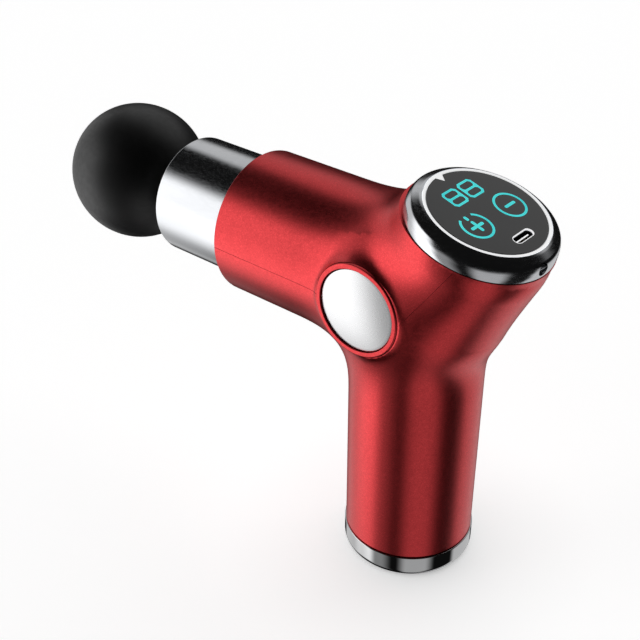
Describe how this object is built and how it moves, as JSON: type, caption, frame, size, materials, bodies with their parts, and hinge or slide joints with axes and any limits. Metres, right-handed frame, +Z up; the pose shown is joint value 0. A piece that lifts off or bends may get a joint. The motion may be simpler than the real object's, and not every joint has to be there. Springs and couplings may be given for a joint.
{
  "type": "massage gun",
  "caption": "Handheld percussion massage gun with a ball head, polished nose sleeve, Y-shaped red metal housing, tilted round touch panel and upright handle.",
  "frame": {"origin": "centre of the flat underside of the base, where the gun stands", "axes": "+X towards the ball head along the barrel, +Y to the user's left, +Z up the handle"},
  "size_m": [0.187, 0.0506, 0.1347],
  "materials": {
    "red_shell": "satin",
    "chrome": "polished",
    "polished_alloy": "polished",
    "bare_aluminium": "satin",
    "pearl": "satin",
    "black_rubber": "matte",
    "black_plastic": "matte",
    "natural_plastic": "satin",
    "white_plastic": "satin",
    "cyan_light": "satin",
    "smoked_glass": "gloss",
    "circuit_board": "satin",
    "steel": "satin",
    "brass": "satin",
    "cell": "satin",
    "red_wire": "matte",
    "black_wire": "matte"
  },
  "bodies": {
    "housing": {"grip_shell": "red_shell", "top_shell": "red_shell", "base_cap": "chrome", "base_pad": "black_rubber", "base_screw_1": "steel", "base_screw_2": "steel", "cell_cradle_low": "black_plastic", "cell_cradle_high": "black_plastic", "battery_cell_1": "cell", "battery_cell_2": "cell", "tab_strip_top_1": "steel", "tab_strip_top_2": "steel", "tab_strip_low": "steel", "main_board": "circuit_board", "main_board_inductor": "black_plastic", "main_board_connector": "white_plastic", "motor_can": "steel", "motor_bearing": "steel", "motor_bracket": "bare_aluminium", "motor_screw_1": "steel", "motor_screw_2": "steel", "motor_screw_3": "steel", "side_collar_left": "red_shell", "side_collar_right": "red_shell", "side_cap_left": "pearl", "side_cap_right": "pearl", "driver_board": "circuit_board", "guide_tube": "natural_plastic", "guide_ring_rear": "black_plastic", "guide_ring_front": "black_plastic", "nose_sleeve": "polished_alloy", "nose_plate": "black_plastic", "dust_seal": "black_rubber", "panel_bezel": "polished_alloy", "lanyard_pin": "steel", "panel_light_ring": "white_plastic", "panel_glass": "smoked_glass", "display_spacer": "black_plastic", "digit_module_1": "cyan_light", "digit_module_2": "cyan_light", "touch_key_plus": "cyan_light", "touch_key_minus": "cyan_light", "display_board": "circuit_board", "usb_shell": "steel", "usb_tongue": "black_plastic", "battery_lead": "red_wire", "motor_lead": "black_wire", "display_lead": "black_wire"},
    "crank": {"motor_shaft": "steel", "eccentric_wheel": "steel", "counterweight": "brass", "pin_clip": "steel"},
    "rod": {"connecting_rod": "bare_aluminium", "rod_bearing": "steel"},
    "piston": {"piston": "natural_plastic", "wrist_pin": "steel"},
    "head": {"ball_head": "black_rubber", "head_stem": "black_plastic", "head_core": "black_plastic", "stem_o_ring": "black_rubber"}
  },
  "joints": [
    {"name": "crank_spin", "type": "hinge", "parent": "housing", "child": "crank", "pos_m": [0.0052, 0, 0.0986], "axis": [0, 1, 0], "range_deg": [0, 180]},
    {"name": "rod_pivot", "type": "hinge", "parent": "crank", "child": "rod", "pos_m": [0.0022, 0, 0.0986], "axis": [0, 1, 0], "range_deg": [-180, 0]},
    {"name": "piston_stroke", "type": "slide", "parent": "housing", "child": "piston", "axis": [1, 0, 0], "range_m": [0, 0.006]},
    {"name": "head_pull", "type": "slide", "parent": "piston", "child": "head", "axis": [1, 0, 0], "range_m": [0, 0.024]}
  ],
  "couplings": [
    {"joint": "crank_spin", "follows": "piston_stroke", "rad_per_m": 523.6},
    {"joint": "rod_pivot", "follows": "piston_stroke", "rad_per_m": -523.6}
  ]
}
